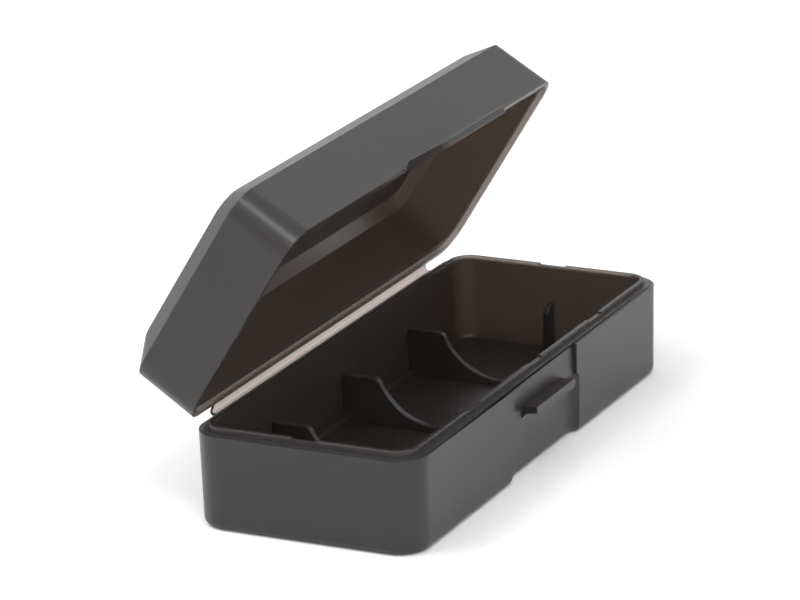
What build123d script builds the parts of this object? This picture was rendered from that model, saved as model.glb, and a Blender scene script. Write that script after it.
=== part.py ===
from build123d import *
import math
import os

# Hinged-lid case for one cylindrical cell, moulded in smoke-tinted polypropylene.
# Millimetres. X runs along the case, the latch side faces -Y, the film hinge is at +Y, Z is up.
# The origin is the centre of the underside. The lid and the latch are drawn open, as they rest.

# ---- driving dimensions: the tray ----
case_length = 82.3
case_width = 33.0
tray_height = 13.3          # floor level to the shoulder that the lid's rim sits on
corner_radius = 4.5
wall = 2.0                  # wall at the mouth, lip included
floor_thickness = 1.6
draft = 1.0                 # degrees
bottom_radius = 1.1         # round between the walls and the underside
inner_floor_radius = 0.7
lip_height = 0.7
lip_thickness = 0.6
lip_round = 0.15
step_width = 0.6            # the outer band of the shoulder, which lies a little lower
step_drop = 0.15
notch_length = 4.0          # short dips in the top of the lip
notch_depth = 0.25
front_notch_spacing = 20.0
gate_pad_radius = 1.5
gate_pad_height = 0.2
gate_pad_x = 9.0

# ---- driving dimensions: the latch recess and its catch ----
recess_length = 20.6
recess_depth = 0.57
grip_length = 22.6          # the recess below the ledge is longer and deeper, for a fingertip
grip_depth = 1.1
grip_scoop = 2.0            # length of the curve that closes each of its ends
ledge_length = 12.6
ledge_reach = 2.0           # from the recess's panel outwards
ledge_thickness = 1.15
ledge_rise = 0.15           # the ledge's outer edge stands this much higher than its root
ledge_height = 9.5          # top of the ledge at its root, above the underside
ledge_corner = 0.5
ledge_root_fillet = 1.2

# ---- driving dimensions: what holds the cell ----
cell_radius = 9.2
cradle_clearance = 0.15
cradle_bottom_gap = 0.8     # from the tray's floor to the lowest point of a cradle
rib_pitch = 21.0
rib_thickness = 1.0
rib_height = 8.4            # above the underside
horn_round = 1.1
stop_thickness = 0.85
stop_reach = 2.6
stop_round = 1.3

# ---- driving dimensions: the lid ----
lid_setback = 0.25          # the lid's rim stands this far inside the tray's outline
rim_gap = 0.3               # between the lid's rim and the tray's shoulder, closed
lid_corner_radius = 4.0
lid_wall = 1.8
lid_wall_height = 9.2       # rim to the sharp line where the bevel starts
bevel_height = 2.4
bevel_inset = 3.1
lid_top_corner_radius = 3.2
lid_top_thickness = 1.5
bevel_wall_drop = 0.55      # the inner bevel starts this much lower than the outer one
rebate_depth = 0.7
rebate_clearance = 0.3      # between the tray's lip and the lid's rebate
bead_length = 4.3
bead_height = 0.3
bead_reach = 0.15
bead_setback = 8.1          # from the lid's end to the middle of the bead near it

# ---- driving dimensions: the film hinge at the back ----
hinge_offset = 0.64         # behind the tray's back wall
hinge_length = 66.0
film_thickness = 0.32
film_gap = 0.08             # between each film's end and its hinge line
lid_open_angle = 57.8       # from closed, as it rests

# ---- driving dimensions: the latch ----
latch_width = 19.2
latch_length = 7.4          # from its hinge line to its tip
latch_thickness = 1.1
latch_tip_thickness = 0.9
latch_shoulder = 1.1        # length of the slope at its root
latch_root_thickness = 0.2
latch_axis_out = 0.35       # outside the lid's front wall
latch_axis_drop = 0.4       # below the lid's rim
latch_face_gap = 0.1        # from the latch's hinge line in to its inner face
latch_root_gap = 0.12
latch_corner = 0.8
window_clearance = 0.4
latch_open_angle = 64.6     # from closed, as it rests

# ---- how far a cutting shape runs past what it cuts ----
cut_past = 1.0

# ---- worked out from the sizes above ----
half_length = case_length / 2
half_width = case_width / 2
panel_y = -half_width + recess_depth
grip_y = -half_width + grip_depth
lip_inset = wall - lip_thickness
lip_top = tray_height + lip_height
rim_z = tray_height + rim_gap
lid_length = case_length - 2 * lid_setback
lid_width = case_width - 2 * lid_setback
bevel_z = rim_z + lid_wall_height
lid_top_z = bevel_z + bevel_height
hinge_y = half_width + hinge_offset
hinge_z = tray_height
latch_y = -lid_width / 2 - latch_axis_out
latch_z = rim_z - latch_axis_drop
cradle_radius = cell_radius + cradle_clearance
cradle_z = floor_thickness + cradle_bottom_gap + cradle_radius
ledge_low = ledge_height - ledge_thickness


def inset_at(drop):
    """How far a drafted wall has moved in over that height."""
    return drop * math.tan(math.radians(draft))


def outline(length, width, radius, z):
    """A rounded rectangle, lying flat at height z."""
    return Pos(0, 0, z) * RectangleRounded(length, width, radius)


def frustum(length, width, radius, z_from, z_to, shrink, end_radius=None):
    """A rounded block between two heights, its far end smaller by shrink on every side."""
    end_radius = max(radius - shrink, 0.3) if end_radius is None else end_radius
    start = outline(length, width, radius, z_from)
    end = outline(length - 2 * shrink, width - 2 * shrink, end_radius, z_to)
    return loft([start.face(), end.face()], ruled=True)


def prism_x(points, x_from, x_to):
    """A prism along X, from a closed outline of (y, z) points."""
    profile = make_face(Polyline(*[(x_from, y, z) for y, z in points], close=True))
    return extrude(profile, amount=x_to - x_from, dir=(1, 0, 0))


def block(x0, x1, y0, y1, z0, z1):
    """A plain block between two corners."""
    centre = ((x0 + x1) / 2, (y0 + y1) / 2, (z0 + z1) / 2)
    return Pos(*centre) * Box(x1 - x0, y1 - y0, z1 - z0)


# ---- the tray ----
def tray_hollow():
    """The space inside the tray, from the floor to above the lip, with a round at the floor."""
    top = lip_top + cut_past
    radius = corner_radius - wall
    length = case_length - 2 * wall
    width = case_width - 2 * wall
    shrink = inset_at(top - floor_thickness)
    hollow = frustum(length, width, radius, top, floor_thickness, shrink)
    return fillet(hollow.faces().sort_by(Axis.Z)[0].edges(), inner_floor_radius)


def grip_recess():
    """The lower part of the recess: scooped at both ends, with a roof that slopes out to the panel."""
    flat = grip_length / 2 - grip_scoop
    half = grip_length / 2
    outer = -half_width - 2 * cut_past
    radius = (grip_scoop ** 2 + grip_depth ** 2) / (2 * grip_depth)
    right = RadiusArc((flat, grip_y), (half, -half_width), radius)
    left = RadiusArc((-half, -half_width), (-flat, grip_y), radius)
    rim = Polyline((half, -half_width), (half, outer), (-half, outer), (-half, -half_width))
    profile = make_face(Curve() + [Line((-flat, grip_y), (flat, grip_y)), right, rim, left])
    well = Pos(0, 0, -cut_past) * extrude(profile, amount=ledge_low + cut_past, dir=(0, 0, 1))
    # a tapered extrude always runs down from this profile, so the roof is mirrored up from it
    roof = mirror(extrude(Pos(0, 0, ledge_low) * profile, amount=grip_y - panel_y, taper=45),
                  about=Plane.XY.offset(ledge_low))
    return well + roof


def panel_recess():
    """The upper part of the recess: a flat panel with square ends, up through the shoulder."""
    half = recess_length / 2
    return block(-half, half, -half_width - cut_past, panel_y, ledge_low, tray_height + cut_past)


def lip_notches():
    """Dips in the top of the lip, in the middle of both ends and along the front."""
    depth = 2 * wall
    z0 = lip_top - notch_depth
    z1 = lip_top + cut_past
    half = notch_length / 2
    cuts = []
    for side in (-1, 1):
        x = side * half_length
        cuts.append(block(x - depth, x + depth, -half, half, z0, z1))
    for x in (-front_notch_spacing, 0, front_notch_spacing):
        cuts.append(block(x - half, x + half, -half_width - depth, -half_width + depth, z0, z1))
    return cuts


def shoulder_step():
    """The band that is cut a little lower all round the outside of the shoulder."""
    around = outline(case_length + cut_past, case_width + cut_past, corner_radius, tray_height - step_drop)
    within = outline(case_length - 2 * step_width, case_width - 2 * step_width,
                     corner_radius - step_width, tray_height - step_drop)
    return extrude(around, amount=step_drop) - extrude(within, amount=step_drop)


def base_tray():
    """Floor, drafted walls, stepped shoulder, lip and latch recess."""
    body = frustum(case_length, case_width, corner_radius, tray_height, 0, inset_at(tray_height))
    body = body - grip_recess()
    body = fillet(body.faces().sort_by(Axis.Z)[0].edges(), bottom_radius)
    lip_face = outline(case_length - 2 * lip_inset, case_width - 2 * lip_inset,
                       corner_radius - lip_inset, tray_height)
    lip = extrude(lip_face, amount=lip_height)
    lip = fillet(lip.faces().sort_by(Axis.Z)[-1].edges(), lip_round)
    body = body - shoulder_step() + lip - panel_recess() - tray_hollow()
    for cut in lip_notches():
        body = body - cut
    pad = Pos(gate_pad_x, 0, floor_thickness) * Cylinder(
        gate_pad_radius, gate_pad_height, align=(Align.CENTER, Align.CENTER, Align.MIN))
    return body + pad


def rib_profile():
    """A cradle rib's outline across the case, wider than the tray so that the walls trim it."""
    reach = half_width
    horn_y = math.sqrt(cradle_radius ** 2 - (cradle_z - rib_height) ** 2)
    plate = Pos(0, rib_height / 2) * Rectangle(2 * reach, rib_height)
    plate = plate - Pos(0, cradle_z) * Circle(cradle_radius)
    horns = plate.vertices().filter_by(lambda v: abs(v.Y - rib_height) < 0.01 and abs(v.X) < horn_y + 0.1)
    return fillet(horns, horn_round)


def cradle_rib(x):
    """One cross rib that the cell lies in, standing on the floor between both long walls."""
    rib = extrude(Plane.YZ * rib_profile(), amount=rib_thickness / 2, both=True)
    return Pos(x, 0, 0) * rib & tray_hollow()


def end_stop(side):
    """An upright fin on an end wall that keeps the cell's end off it."""
    inner = half_length - wall - inset_at(lip_top - rib_height)
    x0 = inner - stop_reach
    fin = block(x0, half_length, -stop_thickness / 2, stop_thickness / 2, 0, rib_height)
    corner = fin.edges().filter_by(Axis.Y).filter_by(
        lambda e: e.center().Z > rib_height - 0.01 and e.center().X < x0 + 0.01)
    fin = fillet(corner, stop_round) & tray_hollow()
    return fin if side > 0 else Rot(0, 0, 180) * fin


def catch_ledge():
    """The shelf in the latch recess that the latch's window goes over, on a hollow-curved foot."""
    half = ledge_length / 2
    outer_y = panel_y - ledge_reach
    shelf = prism_x([(panel_y, ledge_low), (outer_y, ledge_low + ledge_rise),
                     (outer_y, ledge_height + ledge_rise), (panel_y, ledge_height)], -half, half)
    corners = shelf.edges().filter_by(
        lambda e: e.center().Z < ledge_low + ledge_rise and abs(abs(e.center().X) - half) < 0.01)
    return fillet(corners, ledge_corner) + ledge_foot(half - ledge_corner)


def ledge_foot(half):
    """What carries the shelf: it fills the sloping roof and curves down into the lower recess."""
    root = ledge_root_fillet
    dip = root * (1 - math.sqrt(0.5))
    top = ledge_low + grip_y - panel_y
    under = ledge_low + ledge_rise * (root - grip_y + panel_y) / ledge_reach
    curve = ThreePointArc((0, grip_y, under - root), (0, grip_y - dip, under - dip), (0, grip_y - root, under))
    sides = Polyline((0, grip_y - root, under), (0, grip_y - root, top), (0, panel_y, top),
                     (0, grip_y, ledge_low), (0, grip_y, under - root))
    return extrude(make_face(Curve() + [curve, sides]), amount=half, dir=(1, 0, 0), both=True)


def base_hinge_leaf():
    """The tray's half of the film hinge, from the back wall to just short of the hinge line."""
    top = hinge_z - film_gap / 2
    return block(-hinge_length / 2, hinge_length / 2, half_width, hinge_y - film_gap,
                 top - film_thickness, top)


# ---- the lid, drawn closed and then turned open ----
def lid_body(inset, z_from, bevel_from, top_z, bevel_run, end_radius):
    """A drafted block with a bevelled top. The shell's outside and inside are both made this way."""
    length = lid_length - 2 * inset
    width = lid_width - 2 * inset
    radius = lid_corner_radius - inset / 2
    shrink = inset_at(bevel_from - z_from)
    walls = frustum(length, width, radius, z_from, bevel_from, shrink, radius - shrink)
    bevel = frustum(length - 2 * shrink, width - 2 * shrink, radius - shrink,
                    bevel_from, top_z, bevel_run, end_radius)
    return walls + bevel


def lid_shell():
    """Top, bevel, walls and the rebate that fits over the tray's lip."""
    outer = lid_body(0, rim_z, bevel_z, lid_top_z, bevel_inset, lid_top_corner_radius)
    inner_bevel_z = bevel_z - bevel_wall_drop
    inner_top_z = lid_top_z - lid_top_thickness
    inner_run = bevel_inset * (inner_top_z - inner_bevel_z) / bevel_height
    inner = lid_body(lid_wall, rim_z, inner_bevel_z, inner_top_z, inner_run,
                     lid_top_corner_radius - lid_wall / 2)
    rebate_inset = lip_inset - rebate_clearance
    rebate = extrude(outline(case_length - 2 * rebate_inset, case_width - 2 * rebate_inset,
                             lid_corner_radius - rebate_inset + lid_setback, rim_z), amount=rebate_depth)
    return outer - inner - rebate


def lid_bead(side):
    """A short snap bead inside the front of the rebate, near one end."""
    face_y = -half_width + lip_inset - rebate_clearance
    x = side * (lid_length / 2 - bead_setback)
    return block(x - bead_length / 2, x + bead_length / 2, face_y, face_y + bead_reach,
                 rim_z, rim_z + bead_height)


def lid_hinge_leaf():
    """The lid's half of the film hinge, from the lid's back edge to just short of the hinge line."""
    back = lid_width / 2
    points = [(back, rim_z), (hinge_y - film_gap, hinge_z + film_gap / 2),
              (hinge_y, hinge_z + film_gap / 2 + film_thickness), (back, rim_z + film_thickness)]
    return prism_x(points, -hinge_length / 2, hinge_length / 2)


def latch_web():
    """The film that the latch swings on, from the lid's front edge to its hinge line."""
    front = -lid_width / 2
    end_y = latch_y + film_gap
    end_z = latch_z + film_gap
    points = [(front, rim_z), (front, rim_z + film_thickness),
              (end_y, end_z + film_thickness), (end_y, end_z)]
    return prism_x(points, -latch_width / 2, latch_width / 2)


# ---- the latch, drawn closed and then turned open ----
def latch_flap():
    """A flap with a window that drops over the catch ledge, and a grip bar below the window."""
    inner_y = latch_y + latch_face_gap
    outer_y = inner_y - latch_thickness
    tip_y = inner_y - latch_tip_thickness
    root_z = latch_z - latch_root_gap
    tip_z = latch_z - latch_length
    points = [(inner_y, root_z), (inner_y - latch_root_thickness, root_z),
              (outer_y, root_z - latch_shoulder), (tip_y, tip_z), (inner_y, tip_z)]
    flap = prism_x(points, -latch_width / 2, latch_width / 2)
    corners = flap.edges().filter_by(
        lambda e: abs(e.center().Z - tip_z) < 0.01 and abs(abs(e.center().X) - latch_width / 2) < 0.01)
    flap = fillet(corners, latch_corner)
    window = block(-ledge_length / 2 - window_clearance, ledge_length / 2 + window_clearance,
                   outer_y - cut_past, inner_y + cut_past,
                   ledge_low - window_clearance, ledge_height + ledge_rise + window_clearance)
    return flap - window


def opened_lid(shape):
    """Turns a closed lid piece about the film hinge to where the lid rests."""
    return Pos(0, hinge_y, hinge_z) * Rot(-lid_open_angle, 0, 0) * Pos(0, -hinge_y, -hinge_z) * shape


def opened_latch(shape):
    """Turns the closed latch about its own hinge, then with the lid."""
    swung = Pos(0, latch_y, latch_z) * Rot(-latch_open_angle, 0, 0) * Pos(0, -latch_y, -latch_z) * shape
    return opened_lid(swung)


def pieces():
    """Every sub-part by node name."""
    made = {
        "base_tray": base_tray(),
        "cradle_rib_near": cradle_rib(-rib_pitch),
        "cradle_rib_middle": cradle_rib(0),
        "cradle_rib_far": cradle_rib(rib_pitch),
        "end_stop_near": end_stop(-1),
        "end_stop_far": end_stop(1),
        "catch_ledge": catch_ledge(),
        "base_hinge_leaf": base_hinge_leaf(),
        "lid_shell": opened_lid(lid_shell()),
        "lid_bead_near": opened_lid(lid_bead(-1)),
        "lid_bead_far": opened_lid(lid_bead(1)),
        "lid_hinge_leaf": opened_lid(lid_hinge_leaf()),
        "latch_web": opened_lid(latch_web()),
        "latch_flap": opened_latch(latch_flap()),
    }
    return made


os.makedirs("parts", exist_ok=True)
for name, shape in pieces().items():
    export_step(shape, f"parts/{name}.step")
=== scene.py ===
import math
import bmesh
import bpy
from mathutils import Matrix, Vector


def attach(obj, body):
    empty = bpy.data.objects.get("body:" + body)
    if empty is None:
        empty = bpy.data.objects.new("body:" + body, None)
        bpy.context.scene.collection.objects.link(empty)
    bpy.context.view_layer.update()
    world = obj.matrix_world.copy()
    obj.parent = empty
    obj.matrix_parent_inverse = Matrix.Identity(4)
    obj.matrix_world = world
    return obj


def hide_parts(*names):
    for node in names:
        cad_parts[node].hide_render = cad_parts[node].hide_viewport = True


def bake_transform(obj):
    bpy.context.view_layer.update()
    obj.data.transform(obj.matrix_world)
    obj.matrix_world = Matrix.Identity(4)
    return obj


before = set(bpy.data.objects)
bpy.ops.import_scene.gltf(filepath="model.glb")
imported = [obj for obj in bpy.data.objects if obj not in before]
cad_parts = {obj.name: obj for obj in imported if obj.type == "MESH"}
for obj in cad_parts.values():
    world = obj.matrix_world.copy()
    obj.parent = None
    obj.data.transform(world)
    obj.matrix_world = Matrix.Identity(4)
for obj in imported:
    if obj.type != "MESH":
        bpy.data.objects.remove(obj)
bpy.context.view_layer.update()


# ---- the smoke-tinted plastic ----
# One polypropylene tinted grey-brown, moulded 1 to 2 mm thick. It is clear enough to glow where
# it is thin. The mould is spark-eroded on the outside, which leaves a fine even grain, and
# polished on the inside.
def grain_group():
    """Fine mould grain, with soft patches where it is a little more worn."""
    group = bpy.data.node_groups.new("mould_grain", "ShaderNodeTree")
    face = group.interface
    face.new_socket("Vector", in_out="INPUT", socket_type="NodeSocketVector")
    face.new_socket("Grain scale", in_out="INPUT", socket_type="NodeSocketFloat")
    face.new_socket("Height", in_out="OUTPUT", socket_type="NodeSocketFloat")
    face.new_socket("Patches", in_out="OUTPUT", socket_type="NodeSocketFloat")
    nodes, links = group.nodes, group.links
    entry = nodes.new("NodeGroupInput")
    leave = nodes.new("NodeGroupOutput")
    fine = nodes.new("ShaderNodeTexNoise")
    fine.inputs["Detail"].default_value = 2.0
    patch = nodes.new("ShaderNodeTexNoise")
    patch.inputs["Scale"].default_value = 90.0
    patch.inputs["Detail"].default_value = 3.0
    links.new(entry.outputs["Vector"], fine.inputs["Vector"])
    links.new(entry.outputs["Grain scale"], fine.inputs["Scale"])
    links.new(entry.outputs["Vector"], patch.inputs["Vector"])
    links.new(fine.outputs["Fac"], leave.inputs["Height"])
    links.new(patch.outputs["Fac"], leave.inputs["Patches"])
    return group


mould_grain = grain_group()


def smoke_plastic(name, rough, rough_spread, grain_height, clearness):
    """The tinted plastic, with its own roughness, depth of grain and clearness."""
    material = bpy.data.materials.new(name)
    material.use_nodes = True
    nodes, links = material.node_tree.nodes, material.node_tree.links
    shader = nodes["Principled BSDF"]
    output = nodes["Material Output"]
    place = nodes.new("ShaderNodeTexCoord")
    grain = nodes.new("ShaderNodeGroup")
    grain.node_tree = mould_grain
    grain.inputs["Grain scale"].default_value = 5200.0
    links.new(place.outputs["Object"], grain.inputs["Vector"])
    tint = nodes.new("ShaderNodeMix")
    tint.data_type = "RGBA"
    tint.inputs["A"].default_value = (0.93, 0.85, 0.83, 1)
    tint.inputs["B"].default_value = (1.0, 0.93, 0.91, 1)
    links.new(grain.outputs["Patches"], tint.inputs["Factor"])
    links.new(tint.outputs["Result"], shader.inputs["Base Color"])
    worn = nodes.new("ShaderNodeMapRange")
    worn.inputs["To Min"].default_value = rough - rough_spread
    worn.inputs["To Max"].default_value = rough + rough_spread
    links.new(grain.outputs["Patches"], worn.inputs["Value"])
    links.new(worn.outputs["Result"], shader.inputs["Roughness"])
    bump = nodes.new("ShaderNodeBump")
    bump.inputs["Strength"].default_value = 1.0
    bump.inputs["Distance"].default_value = grain_height
    links.new(grain.outputs["Height"], bump.inputs["Height"])
    links.new(bump.outputs["Normal"], shader.inputs["Normal"])
    shader.inputs["IOR"].default_value = 1.49
    shader.inputs["Transmission Weight"].default_value = clearness
    depth = nodes.new("ShaderNodeVolumeAbsorption")
    depth.inputs["Color"].default_value = (0.194, 0.128, 0.056, 1)
    depth.inputs["Density"].default_value = 2050.0
    links.new(depth.outputs["Volume"], output.inputs["Volume"])
    return material


plastic_outside = smoke_plastic("smoke_plastic_grained", 0.36, 0.04, 0.000004, 0.978)
plastic_inside = smoke_plastic("smoke_plastic_polished", 0.02, 0.01, 0.0000001, 1.0)


def depth_inside(x, y, length, width, corner):
    """How far a point lies inside a rounded rectangle about the origin, seen from above."""
    along = abs(x) - length / 2 + corner
    across = abs(y) - width / 2 + corner
    return corner - math.hypot(max(along, 0), max(across, 0)) - min(max(along, across), 0)


def dressed(node, edge_round, is_polished=None):
    """A copy of the moulded piece with its sharp edges rounded and its curves shaded smooth."""
    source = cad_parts[node]
    mesh = source.data.copy()
    mesh.name = node + "_moulded"
    piece = bpy.data.objects.new(node + "_moulded", mesh)
    bpy.context.scene.collection.objects.link(piece)
    form = bmesh.new()
    form.from_mesh(mesh)
    form.transform(source.matrix_world)
    bmesh.ops.remove_doubles(form, verts=form.verts, dist=1e-6)
    bmesh.ops.dissolve_limit(form, angle_limit=math.radians(0.4), verts=form.verts, edges=form.edges)
    sharp = [e for e in form.edges if e.is_manifold and e.calc_face_angle() > math.radians(35)]
    if edge_round:
        bmesh.ops.bevel(form, geom=sharp, offset=edge_round, segments=3, profile=0.5,
                        affect="EDGES", material=-1, clamp_overlap=True)
    form.normal_update()
    for face in form.faces:
        face.smooth = True
        face.material_index = 1 if is_polished and is_polished(face.calc_center_median(), face.normal) else 0
    for edge in form.edges:
        edge.smooth = not edge.is_manifold or edge.calc_face_angle() < math.radians(32)
    form.to_mesh(mesh)
    form.free()
    mesh.materials.clear()
    mesh.materials.append(plastic_outside)
    mesh.materials.append(plastic_inside)
    even = piece.modifiers.new("even_shading", "WEIGHTED_NORMAL")
    even.keep_sharp = True
    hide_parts(node)
    return piece


# ---- the tray ----
# A rectangular tray with drafted walls, a stepped shoulder and an upright lip. A recess in the
# middle of the front wall makes room for the latch.
def tray_polished(centre, normal):
    """The mould's polished core shapes all but the outside walls and the lower recess."""
    depth = depth_inside(centre.x, centre.y, 0.0823, 0.033, 0.0045)
    return centre.z > 0.0013 and depth > (0.0005 if centre.z > 0.0084 else 0.0012)


tray_edge_round = 0.00008
tray = dressed("base_tray", tray_edge_round, tray_polished)
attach(tray, "base")

# ---- the cradle ribs and the end stops ----
# Three cross ribs hold the cell off the floor, and a fin on each end wall keeps its ends clear.
rib_edge_round = 0.00012
for node in ("cradle_rib_near", "cradle_rib_middle", "cradle_rib_far", "end_stop_near", "end_stop_far"):
    rib = dressed(node, rib_edge_round, lambda centre, normal: True)
    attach(rib, "base")

# ---- the catch ledge ----
# A short shelf in the recess. The latch's window snaps down over it. Its top is polished.
ledge_edge_round = 0.0001
ledge = dressed("catch_ledge", ledge_edge_round, lambda centre, normal: normal.z > 0.7)
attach(ledge, "base")

# ---- the lid ----
# A bevelled cover with a thin rebate round its mouth that goes over the tray's lip.
lid_hinge = Vector((0, 0.01714, 0.0133))
lid_open_angle = math.radians(57.8)
lid_shut = (Matrix.Translation(lid_hinge) @ Matrix.Rotation(lid_open_angle, 4, "X")
            @ Matrix.Translation(-lid_hinge))


def lid_polished(centre, normal):
    """The lid's inside, its rebate and its rim are polished."""
    shut = lid_shut @ centre
    depth = depth_inside(shut.x, shut.y, 0.0818, 0.0325, 0.004)
    return depth > 0.0006 and (lid_shut.to_3x3() @ normal).z < 0.1


lid_edge_round = 0.00008
bead_edge_round = 0.00005
lid = dressed("lid_shell", lid_edge_round, lid_polished)
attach(lid, "lid")
for node in ("lid_bead_near", "lid_bead_far"):
    bead = dressed(node, bead_edge_round)
    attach(bead, "lid")

# ---- the film hinge ----
# A strap a third of a millimetre thick, moulded in one with the tray and the lid. It bends along
# a line just behind the tray's back wall, and its ends are cut slanting.
def film(name, profile, half_length, slant, body_a, body_b, start, end, *nodes):
    """A thin strap along X, from its outline of (y, z) points in millimetres. The two bodies it is given are not
    used.
    """
    form = bmesh.new()
    ring = [form.verts.new((-half_length, y / 1000, z / 1000)) for y, z in profile]
    form.faces.new(ring)
    swept = bmesh.ops.extrude_face_region(form, geom=form.faces[:])
    moved = [g for g in swept["geom"] if isinstance(g, bmesh.types.BMVert)]
    bmesh.ops.translate(form, verts=moved, vec=(2 * half_length, 0, 0))
    low = min(v.co.z for v in form.verts)
    for vert in form.verts:
        vert.co.x -= math.copysign(slant * (vert.co.z - low), vert.co.x)
    bmesh.ops.recalc_face_normals(form, faces=form.faces)
    mesh = bpy.data.meshes.new(name)
    for face in form.faces:
        face.smooth = True
    for edge in form.edges:
        edge.smooth = edge.calc_face_angle() < math.radians(40)
    form.to_mesh(mesh)
    form.free()
    mesh.materials.append(plastic_inside)
    strap = bpy.data.objects.new(name, mesh)
    bpy.context.scene.collection.objects.link(strap)
    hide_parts(*nodes)
    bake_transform(strap)
    return strap


hinge_inner_side = ((16.49, 13.22), (16.80, 13.23), (16.98, 13.27), (17.06, 13.36), (17.07, 13.48), (16.93, 14.22))
hinge_outer_side = ((17.20, 14.38), (17.40, 13.52), (17.38, 13.28), (17.26, 13.08),
                    (17.08, 12.96), (16.80, 12.91), (16.49, 12.90))
hinge_half_length = 0.0331
hinge_end_slant = 0.5
film("film_hinge", hinge_inner_side + hinge_outer_side, hinge_half_length, hinge_end_slant,
     "base", "lid", (0, 0.01694, 0.0131), (0, 0.01718, 0.01352), "base_hinge_leaf", "lid_hinge_leaf")

# ---- the latch ----
# A flap on a thin film of its own, with a window for the ledge and a grip bar below it.
latch_film_under = ((-0.355, 41.683), (-0.786, 41.766), (-0.958, 41.776), (-1.11, 41.821))
latch_film_over = ((-1.025, 41.956), (-0.903, 41.952), (-0.642, 41.951), (-0.118, 41.832))
latch_half_width = 0.0096
latch_edge_round = 0.0001
film("latch_film", latch_film_under + latch_film_over, latch_half_width, 0.0,
     "lid", "latch", (0, -0.000701, 0.041819), (0, -0.001051, 0.041878), "latch_web")
latch = dressed("latch_flap", latch_edge_round)
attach(latch, "latch")

# ---- the floor ----
# A plain white sheet. It shows a little brighter to the camera, in reflections and through
# the plastic, but throws no more light on the case.
floor_form = bmesh.new()
bmesh.ops.create_grid(floor_form, x_segments=1, y_segments=1, size=6.0)
bmesh.ops.translate(floor_form, verts=floor_form.verts, vec=(0, 0, -0.00002))
floor_mesh = bpy.data.meshes.new("floor")
floor_form.to_mesh(floor_mesh)
floor_form.free()
floor = bpy.data.objects.new("floor", floor_mesh)
bpy.context.scene.collection.objects.link(floor)
floor_paint = bpy.data.materials.new("white_floor")
floor_paint.use_nodes = True
paint = floor_paint.node_tree.nodes["Principled BSDF"]
paint.inputs["Base Color"].default_value = (0.93, 0.92, 0.923, 1)
paint.inputs["Roughness"].default_value = 0.9
paint.inputs["Specular IOR Level"].default_value = 0.0
extra_white = 0.1
floor_nodes, floor_links = floor_paint.node_tree.nodes, floor_paint.node_tree.links
floor_rays = floor_nodes.new("ShaderNodeLightPath")
camera_or_gloss = floor_nodes.new("ShaderNodeMath")
camera_or_gloss.operation = "MAXIMUM"
any_seeing_ray = floor_nodes.new("ShaderNodeMath")
any_seeing_ray.operation = "MAXIMUM"
lift = floor_nodes.new("ShaderNodeMath")
lift.operation = "MULTIPLY"
lift.inputs[1].default_value = extra_white
floor_links.new(floor_rays.outputs["Is Camera Ray"], camera_or_gloss.inputs[0])
floor_links.new(floor_rays.outputs["Is Glossy Ray"], camera_or_gloss.inputs[1])
floor_links.new(camera_or_gloss.outputs["Value"], any_seeing_ray.inputs[0])
floor_links.new(floor_rays.outputs["Is Transmission Ray"], any_seeing_ray.inputs[1])
floor_links.new(any_seeing_ray.outputs["Value"], lift.inputs[0])
floor_links.new(lift.outputs["Value"], paint.inputs["Emission Strength"])
paint.inputs["Emission Color"].default_value = (1, 1, 1, 1)
floor_mesh.materials.append(floor_paint)

# ---- the light ----
# An even room, a large soft lamp high behind to the left and a small window for the lid's corner.
# What shines or shows through sees a white room. Matt surfaces see one that darkens downwards.
world = bpy.data.worlds.new("studio")
bpy.context.scene.world = world
world.use_nodes = True
sky = world.node_tree.nodes["Background"]
sky.inputs["Color"].default_value = (1, 1, 1, 1)
seen_strength = 0.95
horizon_strength = 0.3
overhead_strength = 0.9
sky_nodes, sky_links = world.node_tree.nodes, world.node_tree.links
direction = sky_nodes.new("ShaderNodeTexCoord")
split = sky_nodes.new("ShaderNodeSeparateXYZ")
height = sky_nodes.new("ShaderNodeMapRange")
height.inputs["From Max"].default_value = 0.7
height.inputs["To Min"].default_value = horizon_strength
height.inputs["To Max"].default_value = overhead_strength
sky_links.new(direction.outputs["Generated"], split.inputs["Vector"])
sky_links.new(split.outputs["Z"], height.inputs["Value"])
sky_rays = sky_nodes.new("ShaderNodeLightPath")
strength = sky_nodes.new("ShaderNodeMix")
strength.inputs["A"].default_value = seen_strength
sky_links.new(sky_rays.outputs["Is Diffuse Ray"], strength.inputs["Factor"])
sky_links.new(height.outputs["Result"], strength.inputs["B"])
sky_links.new(strength.outputs["Result"], sky.inputs["Strength"])


def square_lamp(name, side, energy, place):
    """A square lamp aimed at the middle of the case's underside."""
    lamp_data = bpy.data.lights.new(name, "AREA")
    lamp_data.size = side
    lamp_data.energy = energy
    lamp = bpy.data.objects.new(name, lamp_data)
    aim = place.to_track_quat("Z", "Y").to_matrix().to_4x4()
    lamp.matrix_world = Matrix.Translation(place) @ aim
    bpy.context.scene.collection.objects.link(lamp)


square_lamp("soft_lamp", 0.4, 2.3, Vector((-0.25, 0.35, 0.6)))
square_lamp("small_window", 0.16, 0.85, Vector((-0.30, -0.19, 0.52)))

# ---- the camera ----
# A long lens, low on the near end's front corner.
camera_data = bpy.data.cameras.new("camera")
camera_data.sensor_width = 36.0
camera_data.lens = 207.7
camera_data.clip_start = 0.05
camera = bpy.data.objects.new("camera", camera_data)
turn = (Matrix.Rotation(math.radians(-63.69), 4, "Z") @ Matrix.Rotation(math.radians(71.858), 4, "X")
        @ Matrix.Rotation(math.radians(-1.761), 4, "Z"))
camera.matrix_world = Matrix.Translation((-0.53683, -0.26024, 0.21638)) @ turn
bpy.context.scene.collection.objects.link(camera)
bpy.context.scene.camera = camera
bpy.context.scene.view_settings.view_transform = "Standard"
